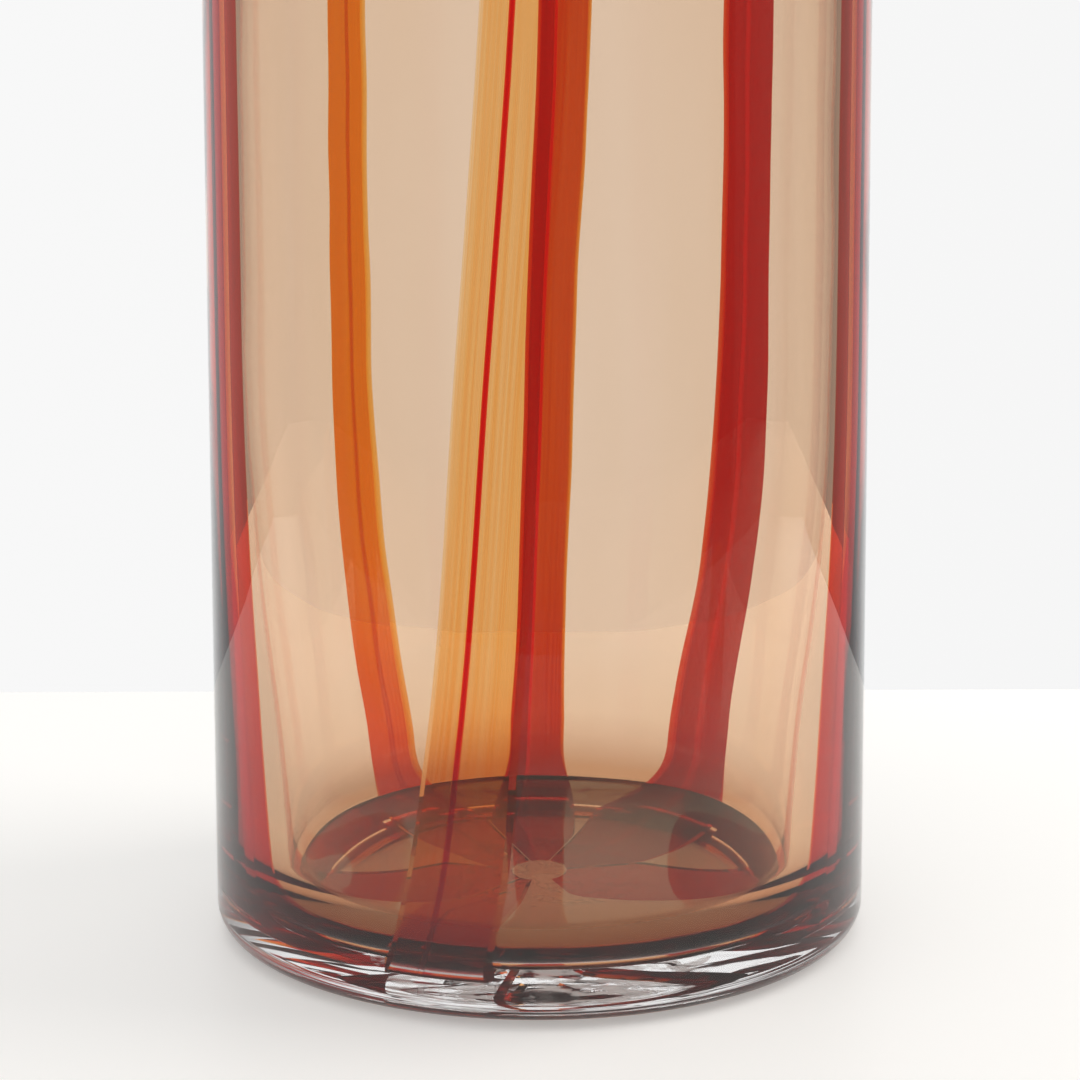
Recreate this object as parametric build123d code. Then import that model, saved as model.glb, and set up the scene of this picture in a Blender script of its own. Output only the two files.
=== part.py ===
from build123d import *
from math import cos, radians, sin
import os

# Hand blown cylinder vase in cased glass, standing on its base at the origin, +Z up.
# The front of the vase faces -Y. Azimuths are in degrees from the front, positive
# towards +X. Every length is in millimetres.

# Overall size
OUTER_RADIUS = 45.0
HEIGHT = 240.0
BASE_EDGE_RADIUS = 3.6

# Sections of the surfaces inside the glass, as (radius, height) control points of two
# Bezier curves that share their middle point: the turn up from the floor, then the
# shoulder where the wall thins. Above the last point each surface is a straight cylinder.
BORE = [(16.0, 3.3), (30.5, 3.3), (36.0, 6.2), (36.4, 13.0), (37.7, 33.0), (40.4, 51.0), (40.4, 80.0)]
UNDERLAY = [(16.0, 2.0), (32.5, 2.0), (37.6, 4.8), (38.2, 12.0), (39.6, 33.0), (42.2, 50.0), (42.2, 80.0)]
RIBBON_FACE = [(16.0, 1.4), (35.0, 0.5), (39.4, 3.2), (40.0, 12.0), (41.2, 33.0), (43.4, 50.0), (43.4, 80.0)]

# Ground pontil mark, a shallow hollow under the base
PONTIL_RADIUS = 15.0
PONTIL_DEPTH = 0.3

# Ribbons: flat pulled cane laid on the brown bubble and sealed in by the clear casing.
# Each runs down the wall and in under the bubble, and stops this far from the axis.
RIBBON_END_DISTANCE = 4.0
THREAD_WIDTH = 0.5

# Each ribbon faces one azimuth. Its outline, seen square on, is a list of
# (height, left edge, right edge), and its thread runs at a fraction of its width.
RIBBONS = {
    "front": (-8.0, 0.37, [
        (0.0, -13.6, -0.7), (4.0, -11.9, -0.3), (12.0, -9.8, 1.5), (31.0, -6.7, 3.4),
        (73.0, -3.0, 6.7), (111.0, -0.1, 9.4), (HEIGHT, 2.2, 11.6)]),
    "right": (67.0, 0.50, [
        (0.0, -8.0, 9.5), (5.0, -6.6, 7.0), (12.0, -5.8, 5.8), (40.0, -5.3, 5.3),
        (110.0, -5.1, 5.1), (HEIGHT, -5.0, 5.0)]),
    "back_right": (124.5, 0.55, [
        (0.0, -8.0, 16.0), (5.0, -4.0, 13.2), (17.0, -2.4, 11.8), (42.0, -5.4, 8.4),
        (73.0, -6.2, 6.6), (130.0, -7.0, 5.2), (HEIGHT, -7.6, 4.6)]),
    "back": (177.0, 0.66, [
        (0.0, -6.0, 10.0), (5.0, -3.4, 8.0), (16.0, -2.7, 7.0), (45.0, -3.4, 5.6),
        (77.0, -4.3, 4.7), (137.0, -7.4, 2.2), (HEIGHT, -9.5, -0.1)]),
    "back_left": (229.0, 0.45, [
        (0.0, -12.0, 5.0), (5.0, -9.2, 2.6), (15.0, -8.0, 2.1), (27.0, -6.8, 3.8),
        (42.0, -5.6, 4.5), (70.0, -4.7, 4.7), (HEIGHT, -4.6, 4.7)]),
    "left": (294.0, 0.50, [
        (0.0, -9.5, 8.5), (5.0, -7.0, 6.6), (12.0, -5.8, 5.8), (40.0, -5.3, 5.3),
        (110.0, -5.1, 5.1), (HEIGHT, -5.0, 5.0)]),
}

# Under the bubble neighbouring ribbons meet on mitres, planes through the axis. Each
# ribbon, in the order above, lies between its own azimuth here and the next one.
MITRES = [-43.5, 23.0, 100.5, 158.0, 202.0, 258.0, 316.5]


def at(point):
    """A (radius, height) pair as a point of the XZ plane."""
    radius, height = point
    return (radius, 0, height)


def surface_curves(control):
    """The two joined curves of one inner surface, from its floor up to its straight wall."""
    turn = Bezier(*[at(point) for point in control[:4]])
    shoulder = Bezier(*[at(point) for point in control[3:]])
    return turn, shoulder


def revolved(edges):
    """Turn a closed outline, drawn in radius and height, about the vertical axis."""
    return revolve(make_face(Wire(edges)), axis=Axis.Z, revolution_arc=360)


def vessel():
    """The whole glass body: outer cylinder, rounded foot and rim, bore and pontil mark."""
    turn, shoulder = surface_curves(BORE)
    floor_radius, floor_height = BORE[0]
    bore_radius, straight_from = BORE[-1]
    rim_radius = (OUTER_RADIUS - bore_radius) / 2
    rim_height = HEIGHT - rim_radius
    foot_radius = OUTER_RADIUS - BASE_EDGE_RADIUS
    inset = BASE_EDGE_RADIUS * (1 - sin(radians(45)))
    return revolved([
        Line(at((0, PONTIL_DEPTH)), at((0, floor_height))),
        Line(at((0, floor_height)), at((floor_radius, floor_height))),
        turn,
        shoulder,
        Line(at((bore_radius, straight_from)), at((bore_radius, rim_height))),
        ThreePointArc(at((bore_radius, rim_height)), at((bore_radius + rim_radius, HEIGHT)),
                      at((OUTER_RADIUS, rim_height))),
        Line(at((OUTER_RADIUS, rim_height)), at((OUTER_RADIUS, BASE_EDGE_RADIUS))),
        ThreePointArc(at((OUTER_RADIUS, BASE_EDGE_RADIUS)), at((OUTER_RADIUS - inset, inset)),
                      at((foot_radius, 0))),
        Line(at((foot_radius, 0)), at((PONTIL_RADIUS, 0))),
        Bezier(at((PONTIL_RADIUS, 0)), at((PONTIL_RADIUS / 2, PONTIL_DEPTH)), at((0, PONTIL_DEPTH))),
    ])


def inside_of(control):
    """A solid that fills one inner surface, from its floor up past the rim."""
    turn, shoulder = surface_curves(control)
    floor_radius, floor_height = control[0]
    wall_radius, straight_from = control[-1]
    above = HEIGHT + 1
    return revolved([
        Line(at((0, floor_height)), at((floor_radius, floor_height))),
        turn,
        shoulder,
        Line(at((wall_radius, straight_from)), at((wall_radius, above))),
        Line(at((wall_radius, above)), at((0, above))),
        Line(at((0, above)), at((0, floor_height))),
    ])


def ribbon_block(facing, outline, start, end):
    """A block cut to a ribbon's outline, between two fractions of the ribbon's width."""
    outward = Vector(sin(radians(facing)), -cos(radians(facing)), 0)
    sideways = Vector(cos(radians(facing)), sin(radians(facing)), 0)
    plane = Plane(origin=outward * RIBBON_END_DISTANCE, x_dir=sideways, z_dir=outward)
    first = [(left + (right - left) * start, height) for height, left, right in outline]
    second = [(left + (right - left) * end, height) for height, left, right in outline]
    face = make_face(Wire([
        Line(first[0], second[0]),
        Spline(*second),
        Line(second[-1], first[-1]),
        Spline(*reversed(first)),
    ]))
    return extrude(plane * face, amount=OUTER_RADIUS - RIBBON_END_DISTANCE)


def mitre_wedge(start, end):
    """The wedge of space between two mitre planes, wider and taller than the vase."""
    reach = 3 * OUTER_RADIUS
    corners = [(reach * sin(radians(azimuth)), -reach * cos(radians(azimuth))) for azimuth in (start, end)]
    return extrude(make_face(Polyline((0, 0), *corners, close=True)), amount=HEIGHT + 1)


def ribbon_pieces(layer):
    """The two bands and the thread of every ribbon, cut from the layer they lie in."""
    pieces = {}
    sectors = zip(RIBBONS.items(), MITRES[:-1], MITRES[1:])
    for (place, (facing, thread_at, outline)), mitre, next_mitre in sectors:
        sector = layer & mitre_wedge(mitre, next_mitre)
        width = outline[-1][2] - outline[-1][1]
        before = thread_at - THREAD_WIDTH / width / 2
        after = thread_at + THREAD_WIDTH / width / 2
        spans = {"left_band": (0.0, before), "thread": (before, after), "right_band": (after, 1.0)}
        for name, (start, end) in spans.items():
            block = ribbon_block(facing, outline, start, end)
            pieces[f"{place}_ribbon_{name}"] = sector & block
    return pieces


def write(name, shape):
    """Save one node under its own name."""
    solid = shape.solid()
    solid.label = name
    export_step(solid, f"parts/{name}.step")


def main():
    os.makedirs("parts", exist_ok=True)
    body = vessel()
    bubble = inside_of(UNDERLAY)
    layer = (body & inside_of(RIBBON_FACE)) - bubble
    casing = body - bubble
    for name, piece in ribbon_pieces(layer).items():
        casing = casing - piece
        write(name, piece)
    write("brown_underlay", body & bubble)
    write("clear_casing", casing)


if __name__ == "__main__":
    main()
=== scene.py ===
import bpy
import math
import numpy as np
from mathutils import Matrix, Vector


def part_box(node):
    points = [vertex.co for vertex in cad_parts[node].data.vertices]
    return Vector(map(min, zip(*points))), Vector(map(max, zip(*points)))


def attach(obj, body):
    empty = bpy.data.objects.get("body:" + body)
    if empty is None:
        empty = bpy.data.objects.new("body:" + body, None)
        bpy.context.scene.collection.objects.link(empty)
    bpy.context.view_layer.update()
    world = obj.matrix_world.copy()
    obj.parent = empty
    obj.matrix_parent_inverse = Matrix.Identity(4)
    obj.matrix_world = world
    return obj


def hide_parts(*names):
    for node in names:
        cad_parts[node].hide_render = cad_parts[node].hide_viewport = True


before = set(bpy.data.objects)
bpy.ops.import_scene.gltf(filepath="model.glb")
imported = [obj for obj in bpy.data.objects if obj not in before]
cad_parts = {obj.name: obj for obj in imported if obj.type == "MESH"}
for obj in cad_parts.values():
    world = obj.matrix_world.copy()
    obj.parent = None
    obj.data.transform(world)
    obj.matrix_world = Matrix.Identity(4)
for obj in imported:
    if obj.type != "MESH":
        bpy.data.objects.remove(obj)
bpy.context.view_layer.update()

# Hand blown cased glass vase: a clear casing over a brown bubble, with six cane ribbons
# between them. All lengths are in metres unless a name ends in _MM.

MM = 0.001
CASING_LOW, CASING_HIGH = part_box("clear_casing")
RADIUS = (CASING_HIGH[0] - CASING_LOW[0]) / 2
HEIGHT = CASING_HIGH[2]

# The surfaces inside the glass as (radius, height) control points in millimetres: two
# Bezier curves that share their middle point, then a straight cylinder up to the rim.
BORE_MM = [(16.0, 3.3), (30.5, 3.3), (36.0, 6.2), (36.4, 13.0), (37.7, 33.0), (40.4, 51.0), (40.4, 80.0)]
UNDERLAY_MM = [(16.0, 2.0), (32.5, 2.0), (37.6, 4.8), (38.2, 12.0), (39.6, 33.0), (42.2, 50.0), (42.2, 80.0)]
RIBBON_FACE_MM = [(16.0, 1.4), (35.0, 0.5), (39.4, 3.2), (40.0, 12.0), (41.2, 33.0), (43.4, 50.0),
                  (43.4, 80.0)]
BASE_EDGE_RADIUS = 3.6 * MM
PONTIL_RADIUS = 15.0 * MM
PONTIL_DEPTH = 0.3 * MM

# Ribbon outlines seen square on: (height, left edge, right edge) in millimetres, with the
# azimuth each one faces and the fraction of its width at which the thread runs. Under the
# floor the ribbons run in towards the axis, where each keeps to its own side of the mitres.
RIBBON_END_RADIUS = 4.0 * MM
THREAD_WIDTH = 0.5 * MM
RIBBON_BEVEL = 0.6 * MM
MITRE_GAP = 0.1 * MM
RIBBON_OUTLINES_MM = {
    "front": (-8.0, 0.37, [
        (0.0, -13.6, -0.7), (4.0, -11.9, -0.3), (12.0, -9.8, 1.5), (31.0, -6.7, 3.4),
        (73.0, -3.0, 6.7), (111.0, -0.1, 9.4), (240.0, 2.2, 11.6)]),
    "right": (67.0, 0.50, [
        (0.0, -8.0, 9.5), (5.0, -6.6, 7.0), (12.0, -5.8, 5.8), (40.0, -5.3, 5.3), (110.0, -5.1, 5.1),
        (240.0, -5.0, 5.0)]),
    "back_right": (124.5, 0.55, [
        (0.0, -8.0, 16.0), (5.0, -4.0, 13.2), (17.0, -2.4, 11.8), (42.0, -5.4, 8.4), (73.0, -6.2, 6.6),
        (130.0, -7.0, 5.2), (240.0, -7.6, 4.6)]),
    "back": (177.0, 0.66, [
        (0.0, -6.0, 10.0), (5.0, -3.4, 8.0), (16.0, -2.7, 7.0), (45.0, -3.4, 5.6), (77.0, -4.3, 4.7),
        (137.0, -7.4, 2.2), (240.0, -9.5, -0.1)]),
    "back_left": (229.0, 0.45, [
        (0.0, -12.0, 5.0), (5.0, -9.2, 2.6), (15.0, -8.0, 2.1), (27.0, -6.8, 3.8), (42.0, -5.6, 4.5),
        (70.0, -4.7, 4.7), (240.0, -4.6, 4.7)]),
    "left": (294.0, 0.50, [
        (0.0, -9.5, 8.5), (5.0, -7.0, 6.6), (12.0, -5.8, 5.8), (40.0, -5.3, 5.3), (110.0, -5.1, 5.1),
        (240.0, -5.0, 5.0)]),
}
# Azimuths of the two mitres that hold each ribbon under the floor
MITRES = {
    "front": (-43.5, 23.0), "right": (23.0, 100.5), "back_right": (100.5, 158.0),
    "back": (158.0, 202.0), "back_left": (202.0, 258.0), "left": (258.0, 316.5),
}

# Hairline clearances that keep the layers from sharing a surface
CASING_CLEARANCE = 0.02 * MM
RIBBON_CLEARANCE = 0.05 * MM
BAND_CLEARANCE = 0.02 * MM

# The buried glasses bend light less than the clear glass around them. The values are
# chosen for the look of the foot and the edges, not measured.
CLEAR_IOR = 1.56
BROWN_IOR = 1.47
CANE_IOR = 1.44

# Painted shade that darkens the brown and the cane glass towards the floor, as (share, tint) up
# to this height; in the cane it carries orange-red painted light too. It does not follow the glass's
# thickness.
PAINTED_SHADE_HEIGHT = 40 * MM
BROWN_PAINTED_SHADE = [(0.05, (0.50, 0.23, 0.10)), (0.17, (0.60, 0.30, 0.15)), (0.40, (0.95, 0.87, 0.78)),
               (0.70, (1.0, 1.0, 1.0))]
CANE_PAINTED_SHADE = [(0.08, (0.85, 0.30, 0.10)), (0.35, (0.95, 0.52, 0.30)), (0.95, (1.0, 1.0, 1.0))]
# Red, green and blue light that the brown glass absorbs in a millimetre
BROWN_PER_MM = (0.034, 0.115, 0.200)
# Height of the faint waves that blowing left in the outer surface
WAVE_DEPTH = 0.15 * MM
# Streaks across a ribbon's width, and along each metre of it
STREAK_SCALE = (60, 7, 1)

# The table: its extent, its painted shade towards the camera and pale colour round the vase, and its own
# painted glow
TABLE_NEAR = -0.35
TABLE_FAR = 0.17
TABLE_HALF_WIDTH = 1.5
TABLE_LEVEL = -0.0002
TABLE_SHADED = (0.26, 0.25, 0.24)
TABLE_PALE = (0.80, 0.79, 0.77)
TABLE_SHADE_START = -0.058
TABLE_SHADE_END = -0.18
TABLE_GLOW = 0.44

# Brightness of the room by azimuth, in degrees from straight behind the vase towards +X
ROOM = [(-180, 0.18), (-90, 0.18), (-50, 0.50), (-29, 0.94), (29, 0.92), (45, 0.45), (80, 0.18), (180, 0.18)]
CEILING = 0.30

# The camera's place in vase radii from the base, its tilt and roll, and its lens
CAMERA_DISTANCE = 4.087
CAMERA_HEIGHT = 1.379
CAMERA_TILT_DEGREES = 3.36
CAMERA_ROLL = -0.0027
SENSOR_WIDTH = 36.0
FOCAL_LENGTH = 43.3333
CAMERA_SHIFT = 0.0013

# Steps in the meshes: around the vase, and along each stretch of a section
AROUND = 288
TURN_STEPS = 28
SHOULDER_STEPS = 26
WALL_STEPS = 14


# ---------------------------------------------------------------- sections

def bezier(points, steps, start=0.0, end=1.0):
    """Points along a cubic Bezier curve."""
    p = np.array(points, float)
    t = np.linspace(start, end, steps + 1)[:, None]
    s = 1 - t
    return s**3 * p[0] + 3 * s**2 * t * p[1] + 3 * s * t**2 * p[2] + t**3 * p[3]


def arc(centre, radius, start, end, steps):
    """Points along a circular arc, angles in degrees."""
    angles = np.radians(np.linspace(start, end, steps + 1))
    return np.stack([centre[0] + radius * np.cos(angles), centre[1] + radius * np.sin(angles)], 1)


def grown(points, offset):
    """Move a section's points outwards and downwards, square to the section."""
    if offset == 0:
        return points
    step = np.gradient(points, axis=0)
    step /= np.linalg.norm(step, axis=1)[:, None]
    return points + offset * np.stack([step[:, 1], -step[:, 0]], 1)


def inner_surface(control_mm, top, offset=0.0):
    """A surface's section from the axis along its floor, round the turn and up the wall."""
    control = np.array(control_mm) * MM
    turn = bezier(control[:4], TURN_STEPS)
    shoulder = bezier(control[3:], SHOULDER_STEPS)[1:]
    curve = grown(np.vstack([turn, shoulder]), offset)
    floor = np.stack([np.linspace(0, curve[0][0], 8)[:-1], np.full(7, curve[0][1])], 1)
    heights = np.linspace(curve[-1][1], top, WALL_STEPS + 1)[1:]
    wall = np.stack([np.full(WALL_STEPS, curve[-1][0]), heights], 1)
    return np.vstack([floor, curve, wall])


BORE_RADIUS = BORE_MM[-1][0] * MM
RIM_RADIUS = (RADIUS - BORE_RADIUS) / 2
RIM_CENTRE = (BORE_RADIUS + RIM_RADIUS, HEIGHT - RIM_RADIUS)


def rim_height_at(radius):
    """Height of the round rim above a radius."""
    reach = min(abs(radius - RIM_CENTRE[0]), RIM_RADIUS)
    return RIM_CENTRE[1] + math.sqrt(RIM_RADIUS**2 - reach**2)


def rim_angle_at(radius):
    """Angle on the rim's arc above a radius, in degrees."""
    return math.degrees(math.acos((radius - RIM_CENTRE[0]) / RIM_RADIUS))


# ---------------------------------------------------------------- mesh building

def finish_mesh(name, vertices, faces, open_faces):
    """Make a closed, smooth piece that rides on the vase and marks its faces open to air."""
    mesh = bpy.data.meshes.new(name)
    mesh.from_pydata([tuple(v) for v in vertices], [], faces)
    mesh.update()
    mark = mesh.attributes.new("open_to_air", "FLOAT", "FACE")
    mark.data.foreach_set("value", np.array(open_faces, dtype=np.float32))
    mesh.shade_smooth()
    mesh.set_sharp_from_angle(angle=math.radians(35))
    piece = bpy.data.objects.new(name, mesh)
    bpy.context.scene.collection.objects.link(piece)
    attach(piece, "root")
    return piece


def spun(name, section, open_rows):
    """Turn a section that starts and ends on the axis into a closed piece.

    open_rows holds, for each stretch between two section points, whether air touches it."""
    azimuths = np.linspace(0, 2 * math.pi, AROUND, endpoint=False)
    rings = section[1:-1]
    vertices = [(0, 0, section[0][1])]
    for radius, height in rings:
        for azimuth in azimuths:
            vertices.append((radius * math.sin(azimuth), -radius * math.cos(azimuth), height))
    vertices.append((0, 0, section[-1][1]))
    last = len(vertices) - 1
    faces = []
    marks = []
    for i in range(AROUND):
        j = (i + 1) % AROUND
        faces.append((0, 1 + j, 1 + i))
        marks.append(open_rows[0])
        for row in range(len(rings) - 1):
            a = 1 + row * AROUND
            b = a + AROUND
            faces.append((a + i, a + j, b + j, b + i))
            marks.append(open_rows[row + 1])
        a = 1 + (len(rings) - 1) * AROUND
        faces.append((a + i, a + j, last))
        marks.append(open_rows[-1])
    return finish_mesh(name, vertices, faces, marks)


def spline(heights, values):
    """A smooth curve through values given at rising heights, as a function of height."""
    heights = np.array(heights, float)
    values = np.array(values, float)
    slopes = np.gradient(values, heights)

    def at(height):
        height = np.clip(height, heights[0], heights[-1])
        i = np.clip(np.searchsorted(heights, height) - 1, 0, len(heights) - 2)
        span = heights[i + 1] - heights[i]
        t = (height - heights[i]) / span
        hermite = (2 * t**3 - 3 * t**2 + 1) * values[i] + (t**3 - 2 * t**2 + t) * span * slopes[i]
        return hermite + (3 * t**2 - 2 * t**3) * values[i + 1] + (t**3 - t**2) * span * slopes[i + 1]

    return at


# ---------------------------------------------------------------- vessel layers

def make_underlay():
    """The brown bubble: interface outside, bore inside."""
    wall_radius = UNDERLAY_MM[-1][0] * MM
    outside = inner_surface(UNDERLAY_MM, rim_height_at(wall_radius))
    rim = arc(RIM_CENTRE, RIM_RADIUS, rim_angle_at(wall_radius), 180, 10)[1:]
    inside = inner_surface(BORE_MM, RIM_CENTRE[1])[::-1][1:]
    section = np.vstack([outside, rim, inside])
    buried = len(outside) - 1
    open_rows = [0.0] * buried + [1.0] * (len(section) - 1 - buried)
    piece = spun("brown_bubble", section, open_rows)
    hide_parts("brown_underlay")
    return piece


def mark_ground(piece):
    """Mark the faces of the pontil scar, which was ground rough."""
    mark = piece.data.attributes.new("ground", "FLOAT", "FACE")
    for face in piece.data.polygons:
        low = face.center.z < PONTIL_DEPTH + RIBBON_CLEARANCE
        central = face.center.xy.length < PONTIL_RADIUS
        mark.data[face.index].value = float(low and central)


def make_casing():
    """The clear casing: pontil mark, foot and outer wall outside, interface inside."""
    steps = 10
    t = np.linspace(0, 1, steps + 1)
    pontil = np.stack([PONTIL_RADIUS * t, PONTIL_DEPTH * (1 - t**2)], 1)
    foot_radius = RADIUS - BASE_EDGE_RADIUS
    foot = np.stack([np.linspace(PONTIL_RADIUS, foot_radius, 12)[1:-1], np.zeros(10)], 1)
    edge = arc((foot_radius, BASE_EDGE_RADIUS), BASE_EDGE_RADIUS, -90, 0, 14)
    heights = np.linspace(BASE_EDGE_RADIUS, RIM_CENTRE[1], 60)[1:-1]
    wall = np.stack([np.full(len(heights), RADIUS), heights], 1)
    face_radius = UNDERLAY_MM[-1][0] * MM + CASING_CLEARANCE
    rim = arc(RIM_CENTRE, RIM_RADIUS, 0, rim_angle_at(face_radius), 12)
    inside = inner_surface(UNDERLAY_MM, rim_height_at(face_radius), CASING_CLEARANCE)[::-1][1:]
    outside = np.vstack([pontil, foot, edge, wall, rim])
    section = np.vstack([outside, inside])
    open_rows = [1.0] * (len(outside) - 1) + [0.0] * (len(section) - len(outside))
    piece = spun("clear_body", section, open_rows)
    mark_ground(piece)
    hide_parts("clear_casing")
    return piece


# ---------------------------------------------------------------- ribbons

def ribbon_path(control_mm, offset, lift):
    """A ribbon's face in section: in from its end under the floor, round the turn, up to the rim."""
    control = np.array(control_mm) * MM
    turn = bezier(control[:4], TURN_STEPS)
    shoulder = bezier(control[3:], SHOULDER_STEPS)[1:]
    curve = grown(np.vstack([turn, shoulder]), offset)
    floor_radii = np.linspace(RIBBON_END_RADIUS, curve[0][0], 9)[:-1]
    floor = np.stack([floor_radii, np.full(8, curve[0][1])], 1)
    top = rim_height_at(curve[-1][0]) - lift
    heights = np.linspace(curve[-1][1], top, WALL_STEPS + 1)[1:]
    wall = np.stack([np.full(WALL_STEPS, curve[-1][0]), heights], 1)
    return np.vstack([floor, curve, wall])


def ribbon_edges(place, path, bevel):
    """Azimuths of a ribbon's left and right edges along its path, in radians."""
    facing, _, outline = RIBBON_OUTLINES_MM[place]
    heights = [row[0] * MM for row in outline]
    edges = []
    for side, inward in ((1, 1), (2, -1)):
        across = spline(heights, [row[side] * MM for row in outline])(path[:, 1])
        sideways = np.clip((across + inward * bevel) / path[:, 0], -0.99, 0.99)
        azimuth = math.radians(facing) + np.arcsin(sideways)
        mitre = math.radians(MITRES[place][side - 1]) + inward * (MITRE_GAP + bevel / 3) / path[:, 0]
        edges.append(np.maximum(azimuth, mitre) if inward > 0 else np.minimum(azimuth, mitre))
    return edges


def make_band(place, part, start, end, columns):
    """One lengthwise piece of a ribbon, between two fractions of the ribbon's width."""
    fractions = np.linspace(start, end, columns + 1)
    vertices = []
    places = []
    for control, offset, bevel in ((UNDERLAY_MM, RIBBON_CLEARANCE, 0), (RIBBON_FACE_MM, 0, RIBBON_BEVEL)):
        path = ribbon_path(control, offset, 0.1 * MM)
        along = np.concatenate([[0], np.cumsum(np.linalg.norm(np.diff(path, axis=0), axis=1))])
        inner_left, inner_right = ribbon_edges(place, path, 0)
        left, right = ribbon_edges(place, path, bevel)
        for fraction in fractions:
            azimuth = np.clip(inner_left + (inner_right - inner_left) * fraction, left, right)
            x = path[:, 0] * np.sin(azimuth)
            y = -path[:, 0] * np.cos(azimuth)
            vertices.extend(np.stack([x, y, path[:, 1]], 1))
            places.extend((fraction, distance) for distance in along)
    rows = len(path)

    def index(sheet, column, row):
        return (sheet * (columns + 1) + column) * rows + row

    faces = []
    top = rows - 1
    for c in range(columns):
        for r in range(top):
            faces.append((index(1, c, r), index(1, c + 1, r), index(1, c + 1, r + 1), index(1, c, r + 1)))
            faces.append((index(0, c + 1, r), index(0, c, r), index(0, c, r + 1), index(0, c + 1, r + 1)))
        faces.append((index(0, c, 0), index(0, c + 1, 0), index(1, c + 1, 0), index(1, c, 0)))
        faces.append((index(0, c + 1, top), index(0, c, top), index(1, c, top), index(1, c + 1, top)))
    broad_faces = len(faces)
    last = columns
    for r in range(top):
        faces.append((index(0, 0, r), index(1, 0, r), index(1, 0, r + 1), index(0, 0, r + 1)))
        faces.append((index(1, last, r), index(0, last, r), index(0, last, r + 1), index(1, last, r + 1)))
    piece = finish_mesh(f"{place}_ribbon_{part}_glass", vertices, faces, [0.0] * len(faces))
    fused = piece.data.attributes.new("fused", "FLOAT", "FACE")
    for side in range(broad_faces, len(faces)):
        fused.data[side].value = 1.0
    layer = piece.data.uv_layers.new(name="cane")
    for loop in piece.data.loops:
        layer.data[loop.index].uv = places[loop.vertex_index]
    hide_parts(f"{place}_ribbon_{part}")
    return piece


def make_ribbon(place, left_material, thread_material, right_material):
    """Both bands and the thread of one ribbon."""
    _, thread_at, outline = RIBBON_OUTLINES_MM[place]
    width = (outline[-1][2] - outline[-1][1]) * MM
    before = thread_at - THREAD_WIDTH / width / 2
    after = thread_at + THREAD_WIDTH / width / 2
    gap = BAND_CLEARANCE / width
    parts = [
        ("left_band", 0.0, before - gap, 8, left_material, "orange_glass"),
        ("thread", before, after, 2, thread_material, "red_glass"),
        ("right_band", after + gap, 1.0, 8, right_material, "amber_glass"),
    ]
    for part, start, end, columns, material, slot in parts:
        piece = make_band(place, part, start, end, columns)
        piece.data.materials.append(material)


# ---------------------------------------------------------------- materials

def new_material(name):
    """An empty node material and its output node."""
    material = bpy.data.materials.new(name)
    material.use_nodes = True
    tree = material.node_tree
    tree.nodes.clear()
    return material, tree, tree.nodes.new("ShaderNodeOutputMaterial")


def glass(tree, ior):
    """Smooth, fully transmitting glass with this index against what lies outside it."""
    shader = tree.nodes.new("ShaderNodeBsdfPrincipled")
    shader.inputs["Base Color"].default_value = (1, 1, 1, 1)
    shader.inputs["Roughness"].default_value = 0.0
    shader.inputs["IOR"].default_value = ior
    shader.inputs["Transmission Weight"].default_value = 1.0
    return shader


def by_open_face(tree, buried, open_to_air):
    """One shader where glass touches glass, and another where air touches the piece."""
    mark = tree.nodes.new("ShaderNodeAttribute")
    mark.attribute_name = "open_to_air"
    mix = tree.nodes.new("ShaderNodeMixShader")
    tree.links.new(mark.outputs["Fac"], mix.inputs["Fac"])
    tree.links.new(buried.outputs[0], mix.inputs[1])
    tree.links.new(open_to_air.outputs[0], mix.inputs[2])
    return mix


def absorption(tree, output, per_mm):
    """Fill a piece with tinted glass, from its red, green and blue absorption per mm."""
    per_metre = [value / MM for value in per_mm]
    density = max(per_metre) * 1.05
    volume = tree.nodes.new("ShaderNodeVolumeAbsorption")
    volume.inputs["Color"].default_value = (*[1 - value / density for value in per_metre], 1)
    volume.inputs["Density"].default_value = density
    tree.links.new(volume.outputs[0], output.inputs["Volume"])


def set_stops(node, stops):
    """Give a colour ramp node its (position, colour) stops."""
    elements = node.color_ramp.elements
    while len(elements) < len(stops):
        elements.new(0.5)
    for element, (position, colour) in zip(elements, stops):
        element.position = position
        element.color = (*colour, 1)


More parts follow.
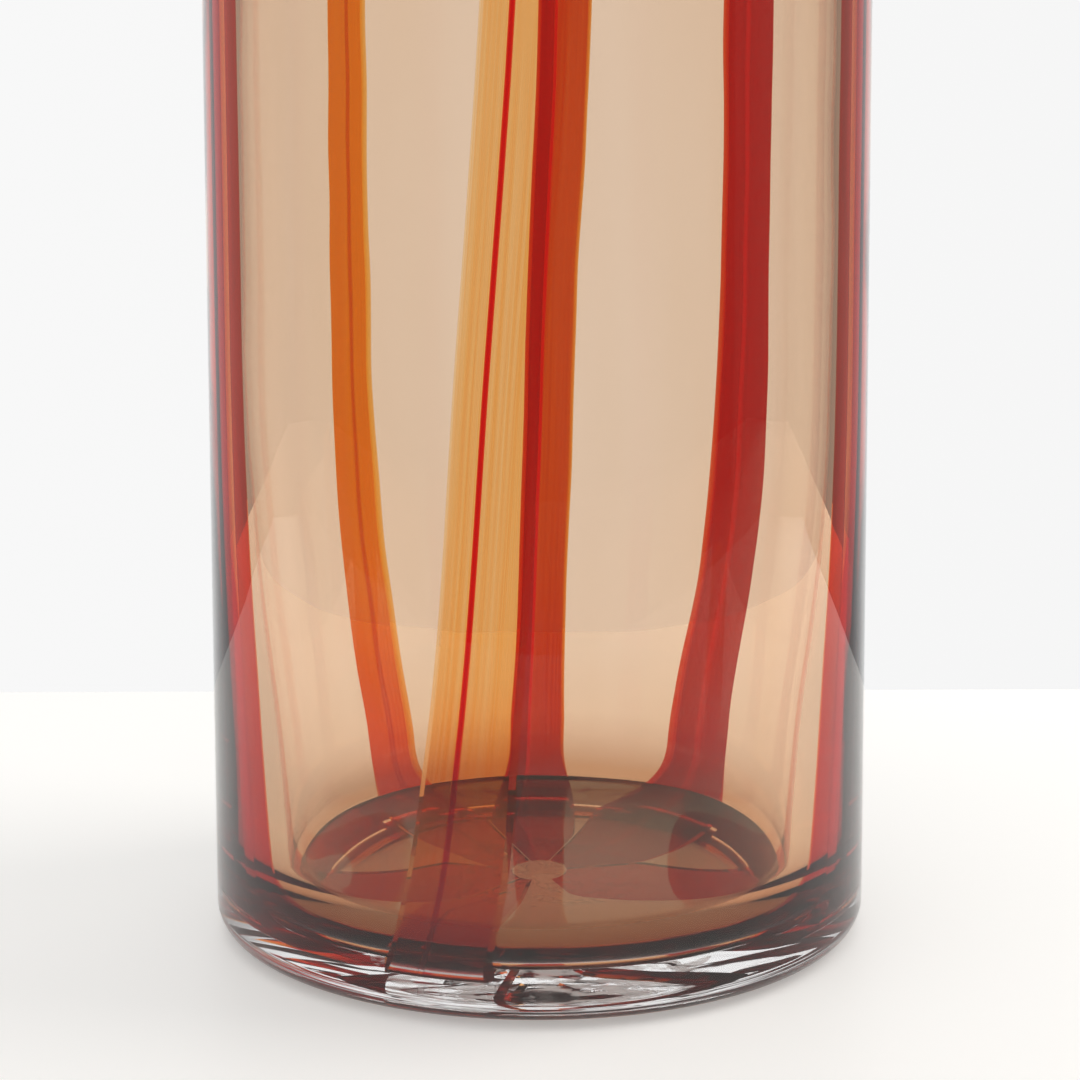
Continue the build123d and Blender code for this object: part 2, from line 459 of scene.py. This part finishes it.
def clear_glass():
    """Clear glass, faintly wavy from the blowing, with a frosted, blotchy pontil scar."""
    material, tree, output = new_material("clear_glass")
    place = tree.nodes.new("ShaderNodeTexCoord")
    noise = tree.nodes.new("ShaderNodeTexNoise")
    noise.inputs["Scale"].default_value = 190.0
    noise.inputs["Detail"].default_value = 6.0
    noise.inputs["Roughness"].default_value = 0.65
    tree.links.new(place.outputs["Object"], noise.inputs["Vector"])
    patches = tree.nodes.new("ShaderNodeMapRange")
    patches.inputs["From Min"].default_value = 0.49
    patches.inputs["From Max"].default_value = 0.56
    patches.inputs["To Max"].default_value = 0.8
    tree.links.new(noise.outputs["Fac"], patches.inputs["Value"])
    mark = tree.nodes.new("ShaderNodeAttribute")
    mark.attribute_name = "ground"
    frost = tree.nodes.new("ShaderNodeMath")
    frost.operation = "MULTIPLY"
    tree.links.new(mark.outputs["Fac"], frost.inputs[0])
    tree.links.new(patches.outputs["Result"], frost.inputs[1])
    frosted = tree.nodes.new("ShaderNodeBsdfTranslucent")
    frosted.inputs["Color"].default_value = (1.0, 0.93, 0.90, 1)
    waves = tree.nodes.new("ShaderNodeTexNoise")
    waves.inputs["Scale"].default_value = 45.0
    waves.inputs["Detail"].default_value = 1.0
    tree.links.new(place.outputs["Object"], waves.inputs["Vector"])
    bump = tree.nodes.new("ShaderNodeBump")
    bump.inputs["Distance"].default_value = WAVE_DEPTH
    tree.links.new(waves.outputs["Fac"], bump.inputs["Height"])
    polished = glass(tree, CLEAR_IOR)
    tree.links.new(bump.outputs["Normal"], polished.inputs["Normal"])
    outer = tree.nodes.new("ShaderNodeMixShader")
    tree.links.new(frost.outputs[0], outer.inputs["Fac"])
    tree.links.new(polished.outputs[0], outer.inputs[1])
    tree.links.new(frosted.outputs[0], outer.inputs[2])
    buried = tree.nodes.new("ShaderNodeBsdfTransparent")
    mix = by_open_face(tree, buried, outer)
    tree.links.new(mix.outputs[0], output.inputs["Surface"])
    return material


def with_painted_shade(tree, colour, stops):
    """Multiply a colour by painted shade that depends on height, up to the painted shade's height."""
    place = tree.nodes.new("ShaderNodeTexCoord")
    parts = tree.nodes.new("ShaderNodeSeparateXYZ")
    tree.links.new(place.outputs["Object"], parts.inputs[0])
    level = tree.nodes.new("ShaderNodeMapRange")
    level.inputs["From Max"].default_value = PAINTED_SHADE_HEIGHT
    tree.links.new(parts.outputs["Z"], level.inputs["Value"])
    shade_ramp = tree.nodes.new("ShaderNodeValToRGB")
    set_stops(shade_ramp, stops)
    tree.links.new(level.outputs["Result"], shade_ramp.inputs["Fac"])
    product = tree.nodes.new("ShaderNodeMix")
    product.data_type = "RGBA"
    product.blend_type = "MULTIPLY"
    product.inputs["Factor"].default_value = 1.0
    tree.links.new(colour, product.inputs["A"])
    tree.links.new(shade_ramp.outputs["Color"], product.inputs["B"])
    return product.outputs["Result"]


def brown_glass():
    """Brown glass, faintly banded, with painted shade that darkens it towards the floor."""
    material, tree, output = new_material("brown_glass")
    buried = glass(tree, BROWN_IOR / CLEAR_IOR)
    place = tree.nodes.new("ShaderNodeTexCoord")
    stretch = tree.nodes.new("ShaderNodeMapping")
    stretch.inputs["Scale"].default_value = (60, 60, 7)
    tree.links.new(place.outputs["Object"], stretch.inputs["Vector"])
    noise = tree.nodes.new("ShaderNodeTexNoise")
    noise.inputs["Scale"].default_value = 1.0
    noise.inputs["Detail"].default_value = 3.0
    tree.links.new(stretch.outputs["Vector"], noise.inputs["Vector"])
    cords = tree.nodes.new("ShaderNodeValToRGB")
    set_stops(cords, [(0.30, (0.95, 0.91, 0.85)), (0.65, (1.0, 1.0, 1.0))])
    tree.links.new(noise.outputs["Fac"], cords.inputs["Fac"])
    # Painted shade darkens the brown towards the floor.
    shaded_colour = with_painted_shade(tree, cords.outputs["Color"], BROWN_PAINTED_SHADE)
    tree.links.new(shaded_colour, buried.inputs["Base Color"])
    mix = by_open_face(tree, buried, glass(tree, BROWN_IOR))
    tree.links.new(mix.outputs[0], output.inputs["Surface"])
    absorption(tree, output, BROWN_PER_MM)
    return material


def ribbon_glass(name, tint, per_mm, glow, streaks=0.5, milkiness=0.1):
    """Coloured cane glass: tinted through, with fine lengthwise streaks and a little milkiness."""
    material, tree, output = new_material(name)
    shader = glass(tree, CANE_IOR / CLEAR_IOR)
    where = tree.nodes.new("ShaderNodeUVMap")
    where.uv_map = "cane"
    stretch = tree.nodes.new("ShaderNodeMapping")
    stretch.inputs["Scale"].default_value = STREAK_SCALE
    tree.links.new(where.outputs["UV"], stretch.inputs["Vector"])
    noise = tree.nodes.new("ShaderNodeTexNoise")
    noise.inputs["Scale"].default_value = 1.0
    noise.inputs["Detail"].default_value = 5.0
    noise.inputs["Roughness"].default_value = 0.7
    tree.links.new(stretch.outputs["Vector"], noise.inputs["Vector"])
    ramp = tree.nodes.new("ShaderNodeValToRGB")
    set_stops(ramp, [(0.38, [value ** (1 + streaks) for value in tint]), (0.56, tint)])
    tree.links.new(noise.outputs["Fac"], ramp.inputs["Fac"])
    # Painted shade, with orange-red painted light, deepens the cane towards the floor.
    tree.links.new(with_painted_shade(tree, ramp.outputs["Color"], CANE_PAINTED_SHADE), shader.inputs["Base Color"])
    milk = tree.nodes.new("ShaderNodeBsdfTranslucent")
    milk.inputs["Color"].default_value = (*glow, 1)
    cane = tree.nodes.new("ShaderNodeMixShader")
    cane.inputs["Fac"].default_value = milkiness
    tree.links.new(shader.outputs[0], cane.inputs[1])
    tree.links.new(milk.outputs[0], cane.inputs[2])
    fused = tree.nodes.new("ShaderNodeAttribute")
    fused.attribute_name = "fused"
    seam = tree.nodes.new("ShaderNodeBsdfTransparent")
    mix = tree.nodes.new("ShaderNodeMixShader")
    tree.links.new(fused.outputs["Fac"], mix.inputs["Fac"])
    tree.links.new(cane.outputs[0], mix.inputs[1])
    tree.links.new(seam.outputs[0], mix.inputs[2])
    tree.links.new(mix.outputs[0], output.inputs["Surface"])
    absorption(tree, output, per_mm)
    return material


# ---------------------------------------------------------------- stage

def make_floor():
    """A pale table top with a painted glow of its own and painted shade that greys it towards the camera."""
    mesh = bpy.data.meshes.new("table")
    corners = [(-TABLE_HALF_WIDTH, TABLE_NEAR), (TABLE_HALF_WIDTH, TABLE_NEAR),
               (TABLE_HALF_WIDTH, TABLE_FAR), (-TABLE_HALF_WIDTH, TABLE_FAR)]
    mesh.from_pydata([(x, y, TABLE_LEVEL) for x, y in corners], [], [(0, 1, 2, 3)])
    floor = bpy.data.objects.new("table", mesh)
    bpy.context.scene.collection.objects.link(floor)
    material, tree, output = new_material("table")
    paint = tree.nodes.new("ShaderNodeBsdfPrincipled")
    paint.inputs["Roughness"].default_value = 0.5
    place = tree.nodes.new("ShaderNodeTexCoord")
    parts = tree.nodes.new("ShaderNodeSeparateXYZ")
    tree.links.new(place.outputs["Object"], parts.inputs[0])
    nearness = tree.nodes.new("ShaderNodeMapRange")
    nearness.inputs["From Min"].default_value = TABLE_SHADE_END
    nearness.inputs["From Max"].default_value = TABLE_SHADE_START
    tree.links.new(parts.outputs["Y"], nearness.inputs["Value"])
    # Painted shade: the table greys towards the camera.
    shade = tree.nodes.new("ShaderNodeValToRGB")
    set_stops(shade, [(0.0, TABLE_SHADED), (1.0, TABLE_PALE)])
    tree.links.new(nearness.outputs["Result"], shade.inputs["Fac"])
    tree.links.new(shade.outputs["Color"], paint.inputs["Base Color"])
    # The table glows in the same colours as painted light, though it is no lamp.
    tree.links.new(shade.outputs["Color"], paint.inputs["Emission Color"])
    paint.inputs["Emission Strength"].default_value = TABLE_GLOW
    tree.links.new(paint.outputs[0], output.inputs["Surface"])
    mesh.materials.append(material)


def make_softbox(name, location, target, size, power, colour):
    """A rectangular studio light aimed at a point."""
    light = bpy.data.lights.new(name, "AREA")
    light.shape = "RECTANGLE"
    light.size = size[0]
    light.size_y = size[1]
    light.energy = power
    light.color = colour
    holder = bpy.data.objects.new(name, light)
    holder.location = location
    away = Vector(location) - Vector(target)
    holder.rotation_euler = away.to_track_quat("Z", "Y").to_euler()
    holder.visible_glossy = False
    holder.visible_transmission = False
    bpy.context.scene.collection.objects.link(holder)


def grey_ramp(tree, stops):
    """A grey colour ramp from (position, brightness) stops."""
    node = tree.nodes.new("ShaderNodeValToRGB")
    set_stops(node, [(position, [brightness] * 3) for position, brightness in stops])
    return node


def make_world():
    """A wide bright backdrop behind the table in a dimmer room."""
    world = bpy.data.worlds.new("studio")
    world.use_nodes = True
    tree = world.node_tree
    background = tree.nodes["Background"]
    direction = tree.nodes.new("ShaderNodeTexCoord")
    parts = tree.nodes.new("ShaderNodeSeparateXYZ")
    tree.links.new(direction.outputs["Generated"], parts.inputs[0])
    turn = tree.nodes.new("ShaderNodeMath")
    turn.operation = "ARCTAN2"
    tree.links.new(parts.outputs["X"], turn.inputs[0])
    tree.links.new(parts.outputs["Y"], turn.inputs[1])
    share = tree.nodes.new("ShaderNodeMapRange")
    share.inputs["From Min"].default_value = -math.pi
    share.inputs["From Max"].default_value = math.pi
    tree.links.new(turn.outputs[0], share.inputs["Value"])
    backdrop = grey_ramp(tree, [((azimuth + 180) / 360, brightness) for azimuth, brightness in ROOM])
    tree.links.new(share.outputs["Result"], backdrop.inputs["Fac"])
    overhead = grey_ramp(tree, [(0.55, 0.0), (0.9, 1.0)])
    tree.links.new(parts.outputs["Z"], overhead.inputs["Fac"])
    mix = tree.nodes.new("ShaderNodeMix")
    mix.data_type = "RGBA"
    mix.inputs["B"].default_value = (CEILING, CEILING, CEILING, 1)
    tree.links.new(overhead.outputs["Color"], mix.inputs["Factor"])
    tree.links.new(backdrop.outputs["Color"], mix.inputs["A"])
    tree.links.new(mix.outputs["Result"], background.inputs["Color"])
    bpy.context.scene.world = world


def make_camera():
    """Low in front of the vase, with its foot just inside the frame and its rim above it."""
    camera = bpy.data.cameras.new("camera")
    camera.sensor_width = SENSOR_WIDTH
    camera.lens = FOCAL_LENGTH
    camera.shift_x = CAMERA_SHIFT
    camera.clip_start = 0.01
    holder = bpy.data.objects.new("camera", camera)
    holder.location = (0, -CAMERA_DISTANCE * RADIUS, CAMERA_HEIGHT * RADIUS)
    holder.rotation_euler = (math.radians(90 - CAMERA_TILT_DEGREES), 0, 0)
    holder.rotation_euler.rotate_axis("Z", CAMERA_ROLL)
    bpy.context.scene.collection.objects.link(holder)
    bpy.context.scene.camera = holder


def set_light_paths():
    """Let light bounce often enough to run the length of the clear foot."""
    scene = bpy.context.scene
    scene.view_settings.view_transform = "Standard"
    scene.cycles.max_bounces = 64
    scene.cycles.transmission_bounces = 64
    scene.cycles.glossy_bounces = 64
    scene.cycles.transparent_max_bounces = 128
    scene.cycles.volume_bounces = 2


casing = make_casing()
casing.data.materials.append(clear_glass())
underlay = make_underlay()
underlay.data.materials.append(brown_glass())
thread_glass = ribbon_glass(
    "thread_glass", tint=(0.92, 0.08, 0.02), per_mm=(0.05, 2.0, 3.0),
    glow=(0.8, 0.02, 0.01))
pale_cane = ribbon_glass(
    "pale_cane", tint=(1.0, 0.84, 0.52), per_mm=(0.0, 0.10, 0.26),
    glow=(1.0, 0.22, 0.04), streaks=2.2, milkiness=0.02)
orange_cane = ribbon_glass(
    "orange_cane", tint=(0.95, 0.54, 0.15), per_mm=(0.03, 0.45, 1.8),
    glow=(0.9, 0.2, 0.03), streaks=0.8, milkiness=0.02)
amber_cane = ribbon_glass(
    "amber_cane", tint=(0.84, 0.34, 0.06), per_mm=(0.15, 1.0, 3.0),
    glow=(0.8, 0.1, 0.02), streaks=0.7, milkiness=0.02)
red_cane = ribbon_glass(
    "red_cane", tint=(0.68, 0.05, 0.01), per_mm=(0.16, 1.8, 3.2),
    glow=(0.8, 0.03, 0.01), streaks=0.7, milkiness=0.02)
side_cane = ribbon_glass(
    "side_cane", tint=(0.92, 0.30, 0.12), per_mm=(0.06, 0.75, 1.8),
    glow=(0.95, 0.16, 0.05), streaks=0.7, milkiness=0.03)

make_ribbon("front", pale_cane, thread_glass, pale_cane)
make_ribbon("right", side_cane, thread_glass, side_cane)
make_ribbon("back_right", red_cane, thread_glass, red_cane)
make_ribbon("back", amber_cane, thread_glass, red_cane)
make_ribbon("back_left", orange_cane, amber_cane, orange_cane)
make_ribbon("left", side_cane, thread_glass, side_cane)
make_floor()
make_world()
make_softbox("key", (0.9, 0.1, 0.75), (0, -0.05, 0), (0.7, 0.7), 6.0, (1, 0.97, 0.93))
make_softbox("fill", (-0.3, -0.5, 1.3), (0, -0.05, 0), (1.6, 1.6), 8.5, (1, 1, 1))
make_camera()
set_light_paths()
